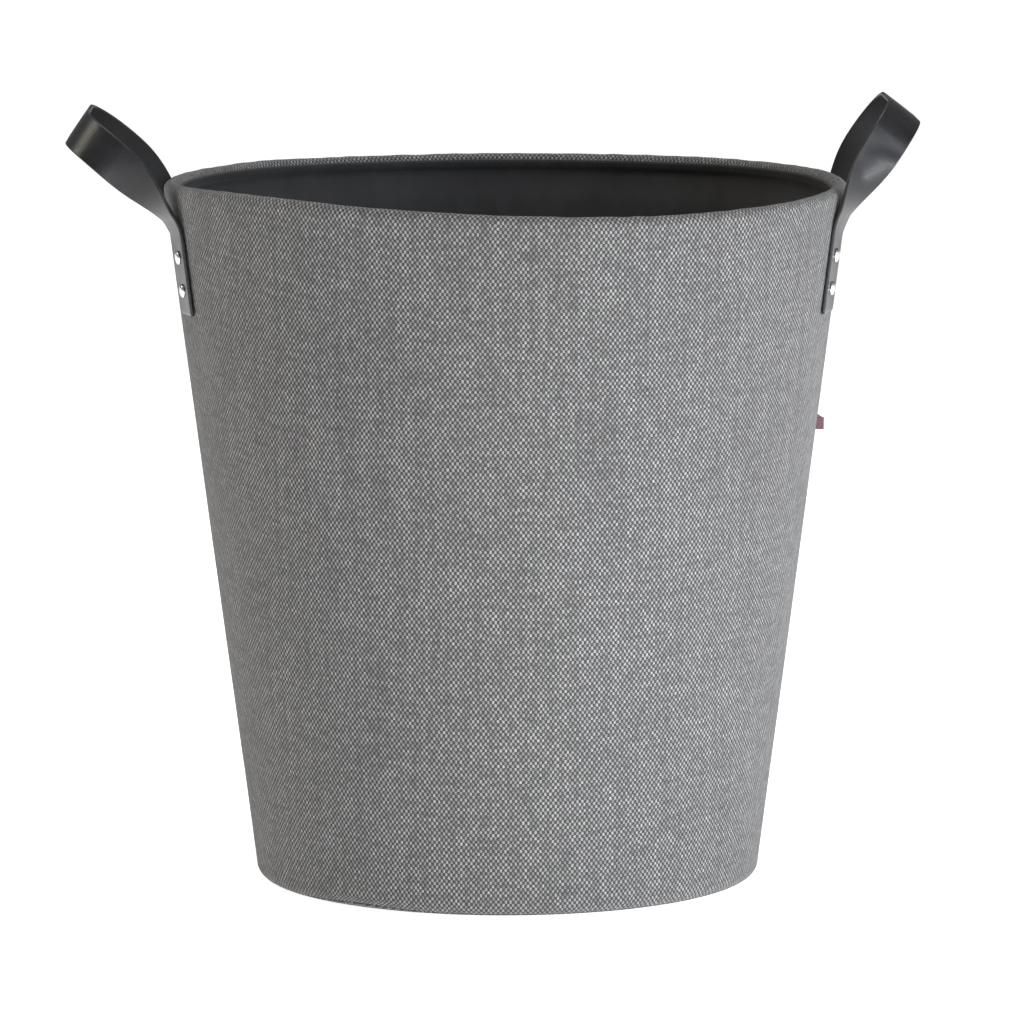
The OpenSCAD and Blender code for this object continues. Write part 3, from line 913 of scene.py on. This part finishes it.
def strap_frames(loop):
    """Frames along a right-hand strap, end to end, with the length gone at each."""
    step = 1.6 * MM
    legs = int((LEG_LEN - FLEX_JOIN) / step)
    ups = np.linspace(-LEG_LEN, -FLEX_JOIN, legs + 1)
    path_len = loop_lengths(loop)[1]
    places = np.linspace(FLEX_JOIN, path_len - FLEX_JOIN, int(path_len / step))
    front = [leg_frame(-LEG_AZ, u, -1) for u in ups]
    turned = [loop_frame(loop, s) for s in places]
    rear = [leg_frame(LEG_AZ, u, 1) for u in ups[::-1]]
    shares = np.linspace(0, 1, 12)[1:-1]
    first = [bent_between(front[-1], turned[0], t, 2 * FLEX_JOIN) for t in shares]
    second = [bent_between(turned[-1], rear[0], t, 2 * FLEX_JOIN) for t in shares]
    frames = front + first + turned + second + rear
    steps = [(b[0] - a[0]).length for a, b in zip(frames, frames[1:])]
    return frames, np.concatenate([[0], np.cumsum(steps)])


def strap_outline():
    """Points round the strap's section: [across, thickness, how much edge, flesh side]."""
    half_w, half_t = STRAP_W / 2, STRAP_T / 2
    corner = half_w - STRAP_ROUND
    faces = np.linspace(-corner, corner, FACE_POINTS)

    def edge(side):
        """The rounded edge at one side, 1 or -1."""
        for degrees in (65, 40, 15, -15, -40, -65):
            a = math.radians(degrees * side)
            up = STRAP_ROUND * math.sin(a) + (half_t - STRAP_ROUND) * np.sign(math.sin(a))
            yield (side * (corner + STRAP_ROUND * math.cos(a)), up, 1.0, 0.0)

    upper = [(x, half_t - STRAP_CROWN * (x / half_w) ** 2, 0.0, 0.0) for x in faces]
    lower = [(x, -half_t, 0.0, 1.0) for x in faces[::-1]]
    return upper + list(edge(1)) + lower + list(edge(-1))


def strap(side):
    """One continuous strap: front leg, flex, loop and rear leg."""
    mirror = 1 if side == "right" else -1
    frames, lengths = strap_frames(LOOPS[side])
    outline = strap_outline()
    total = lengths[-1]
    rivet_places = [LEG_LEN + row for row in RIVET_ROWS]
    rivet_places += [total - p for p in rivet_places]
    rows, cut = [], []
    for (middle, width, face), s in zip(frames, lengths):
        at_end = 1 - float(smooth(min(s, total - s) / END_RUN))
        narrow = 1 - END_NARROW * at_end
        press = 1 - END_PRESS * at_end
        row, flat = [], []
        for x, up, _, flesh in outline:
            sway = noise.noise(Vector((s * 55, x * 30, 3.3 * mirror))) * 0.12 * MM
            dent = sum(math.exp(-((s - p) ** 2 + x ** 2) / DENT_R ** 2) for p in rivet_places)
            lift = up * press + sway - (DENT * dent if up > 0 else 0)
            p = middle + width * (x * narrow) + face * lift
            row.append((p.x * mirror, p.y, p.z))
            flat.append((s, x + (STRAP_W if flesh else 0)))
        rows.append(row)
        cut.append(flat)
    points = np.array(rows).transpose(1, 0, 2)
    cut = np.array(cut).transpose(1, 0, 2)
    obj = grid_mesh(f"{side}_strap", points, cut, closed=True)
    columns = len(frames)
    count = len(outline)
    for name, index in (("strap_edge", 2), ("flesh_side", 3)):
        layer = obj.data.attributes.new(name, "FLOAT", "POINT")
        values = [outline[i // columns][index] for i in range(columns * count)]
        layer.data.foreach_set("value", values)
    close_ends(obj, columns, count)
    finish_piece(
        obj, LEATHER, body=None,
        nodes=[f"{side}_front_leg", f"{side}_rear_leg", f"{side}_handle_loop"],
    )
    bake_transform(obj)


def close_ends(obj, columns, count):
    """Caps the square ends of a strap with a strip of quads."""
    bm = bmesh.new()
    bm.from_mesh(obj.data)
    bm.verts.ensure_lookup_table()
    uv = bm.loops.layers.uv["cut"]
    for end in (0, columns - 1):
        ring = [bm.verts[i * columns + end] for i in range(count)]
        half = count // 2
        upper = ring[:FACE_POINTS]
        lower = ring[half:half + FACE_POINTS][::-1]
        for i in range(FACE_POINTS - 1):
            make_face(bm, uv, (upper[i], upper[i + 1], lower[i + 1], lower[i]))
        right = ring[FACE_POINTS - 1:half + 1]
        left = ring[half + FACE_POINTS - 1:] + [ring[0]]
        for edge in (right, left):
            make_face(bm, uv, edge)
    bmesh.ops.recalc_face_normals(bm, faces=bm.faces)
    bm.to_mesh(obj.data)
    bm.free()


def make_face(bm, uv, corners):
    face = bm.faces.new(corners)
    for loop in face.loops:
        loop[uv].uv = (loop.vert.co.y, loop.vert.co.z)


# ---- Rivets and label ----

def turned_steel(name, section, azimuth, node):
    """Round pieces of one section, [radius, height], at a leg's two rivet places, in one mesh."""
    around = 40
    vertices, faces = [], []
    for row in RIVET_ROWS:
        faces += ring_faces(len(vertices), len(section), around)
        for r, h in section:
            for j in range(around):
                a = 2 * math.pi * j / around
                vertices.append(tuple(on_wall(azimuth, h, r * math.cos(a), row + r * math.sin(a))))
    finish_piece(smooth_mesh(name, vertices, faces), STEEL, nodes=[node])


def rivet_heads(leg, azimuth):
    """Two domed heads with a thin brim, and their posts through the wall."""
    base = LEG_GAP + STRAP_T - 0.3 * MM
    brim = 0.45 * MM
    dome = [
        (RIVET_R * math.cos(a) ** 0.8, base + brim + (RIVET_H - 0.15 * MM) * math.sin(a))
        for a in np.linspace(0.12, math.pi / 2 - 0.02, 12)
    ]
    section = [
        (POST_R, POST_FOOT), (POST_R, base + 0.05 * MM), (RIVET_R - 0.25 * MM, base + 0.05 * MM),
        (RIVET_R, base + 0.2 * MM), (RIVET_R, base + brim), *dome,
    ]
    turned_steel(f"rivets_{leg}", section, azimuth, f"{leg}_rivets")


def rivet_caps(leg, azimuth):
    """Flat round caps with a rolled edge and a dimple, on the lining."""
    inner = CAP_FACE - CAP_T
    section = [
        (1.6 * MM, CAP_FACE), (CAP_R - 0.5 * MM, CAP_FACE),
        (CAP_R - 0.1 * MM, CAP_FACE - 0.25 * MM),
        (CAP_R, CAP_FACE - 0.6 * MM), (CAP_R - 0.25 * MM, inner + 0.25 * MM),
        (CAP_R - 0.9 * MM, inner), (2.6 * MM, inner + 0.05 * MM), (2.0 * MM, inner + 0.2 * MM),
        (1.2 * MM, inner + 0.5 * MM), (0.05 * MM, inner + 0.6 * MM),
    ]
    turned_steel(f"rivet_caps_{leg}", section, azimuth, f"{leg}_rivet_caps")


def label():
    """A blank ribbon folded over at its outer end, with a sloping top edge."""
    low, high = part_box("side_label")
    reach = high.x - low.x
    tall = high.z - low.z
    middle_z = (low.z + high.z) / 2
    root_x = wall_r(middle_z) - 1.0 * MM
    thick = 0.42 * MM
    fold_r = 0.32 * MM
    run = high.x - root_x - fold_r - thick / 2
    path = [(root_x + run * t, fold_r) for t in np.linspace(0, 1, 9)]
    path += [
        (root_x + run + fold_r * math.sin(a), fold_r * math.cos(a))
        for a in np.linspace(0, math.pi, 9)[1:-1]
    ]
    path += [(root_x + run * t, -fold_r) for t in np.linspace(1, 0, 9)]
    path = np.array(path)
    lengths = section_lengths(path)
    side = section_normals(path)
    heights = np.linspace(-0.5, 0.5, 13)
    rows, cut = [], []
    for skin in (1, -1):
        for h in heights[::skin]:
            row, flat = [], []
            for (x, y), (nx, ny), s in zip(path, side, lengths):
                out = (x - root_x) / (reach + 1 * MM)
                top = 0.5 - 0.28 * smooth(out)
                share = (h + 0.5) * (top + 0.5) - 0.5
                wave = 0.12 * MM * math.sin(5 * h + 1)
                tilt = (share * tall) * math.tan(TILT) * (1 - out)
                row.append((
                    x + nx * thick / 2 * skin + tilt,
                    y + ny * thick / 2 * skin + wave * out,
                    middle_z + share * tall,
                ))
                flat.append((s, h * tall))
            rows.append(row)
            cut.append(flat)
    obj = grid_mesh("label", np.array(rows), np.array(cut), closed=True)
    finish_piece(obj, RIBBON, nodes=["side_label"])


# ---- Stage, light and camera ----

def stage():
    """Plain pale floor, 60 m across."""
    ticks = np.linspace(-30, 30, 25)
    x, y = np.meshgrid(ticks, ticks, indexing="ij")
    floor = grid_mesh("floor", np.stack([x, y, 0 * x], -1), None)
    floor.data.materials.append(pale_floor())


def area_light(name, place, target, size, power, colour):
    data = bpy.data.lights.new(name, "AREA")
    data.shape = "RECTANGLE"
    data.size, data.size_y = size
    data.energy = power
    data.color = colour
    lamp = bpy.data.objects.new(name, data)
    lamp.location = place
    lamp.rotation_euler = (Vector(target) - Vector(place)).to_track_quat("-Z", "Y").to_euler()
    bpy.context.scene.collection.objects.link(lamp)


def lights():
    world = bpy.data.worlds.new("studio")
    world.use_nodes = True
    sky = world.node_tree.nodes["Background"]
    sky.inputs["Color"].default_value = (1.0, 0.985, 0.96, 1)
    sky.inputs["Strength"].default_value = 0.2
    bpy.context.scene.world = world
    aim = (0, 0, 0.22)
    area_light("key", (3.1, 0.0, 0.75), aim, (1.0, 1.1), 15, (0.8, 0.9, 1.0))
    area_light("front", (2.2, -2.2, 1.4), aim, (1.6, 1.6), 50, (0.9, 0.94, 1.0))
    area_light("fill", (-2.4, -1.8, 1.2), aim, (1.8, 1.8), 1.2, (1.0, 0.72, 0.45))
    area_light("side", (-3.0, 0.3, 2.4), aim, (1.0, 1.0), 26, (1.0, 0.93, 0.82))
    area_light("low", (0.42, -0.64, 0.03), (0, 0, 0.03), (1.1, 0.05), 5.6, (0.92, 0.95, 1.0))
    area_light("top", (0, 0.0, 3.2), aim, (2.0, 2.0), 52, (1.0, 1.0, 1.0))
    bpy.context.scene.view_settings.view_transform = "Standard"


def camera():
    data = bpy.data.cameras.new("camera")
    data.lens = CAMERA_LENS
    data.sensor_width = 36
    data.clip_end = 200
    obj = bpy.data.objects.new("camera", data)
    turn = Euler((0, 0, CAMERA_TURN)).to_matrix()
    obj.location = turn @ CAMERA_PLACE
    look = turn @ Euler((math.pi / 2 - CAMERA_PITCH, 0, 0)).to_matrix()
    obj.rotation_euler = (look @ Euler((0, 0, CAMERA_ROLL)).to_matrix()).to_euler()
    bpy.context.scene.collection.objects.link(obj)
    bpy.context.scene.camera = obj


# ---- Build ----

FABRIC = woven_fabric()
LINING = lining_cloth()
LEATHER = strap_leather()
STEEL = rivet_steel()
RIBBON = label_ribbon()
BOARD = grey_board()
PLASTIC = hoop_plastic()
THREAD = black_thread()

camera()
stage()
lights()

for node in ("wall_board", "base_board"):
    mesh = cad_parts[node].data
    mesh.materials.clear()
    mesh.materials.append(BOARD)

covers = [cover_panel(side) for side in PANELS]
linings = [wall_lining(side) for side in PANELS]
underside = base_panel()
bin_floor = floor_lining()
hoop()
base_stitches()
rim_stitches()
for side in LOOPS:
    strap(side)
for leg, azimuth in leg_azimuths().items():
    rivet_heads(leg, azimuth)
    rivet_caps(leg, azimuth)
label()
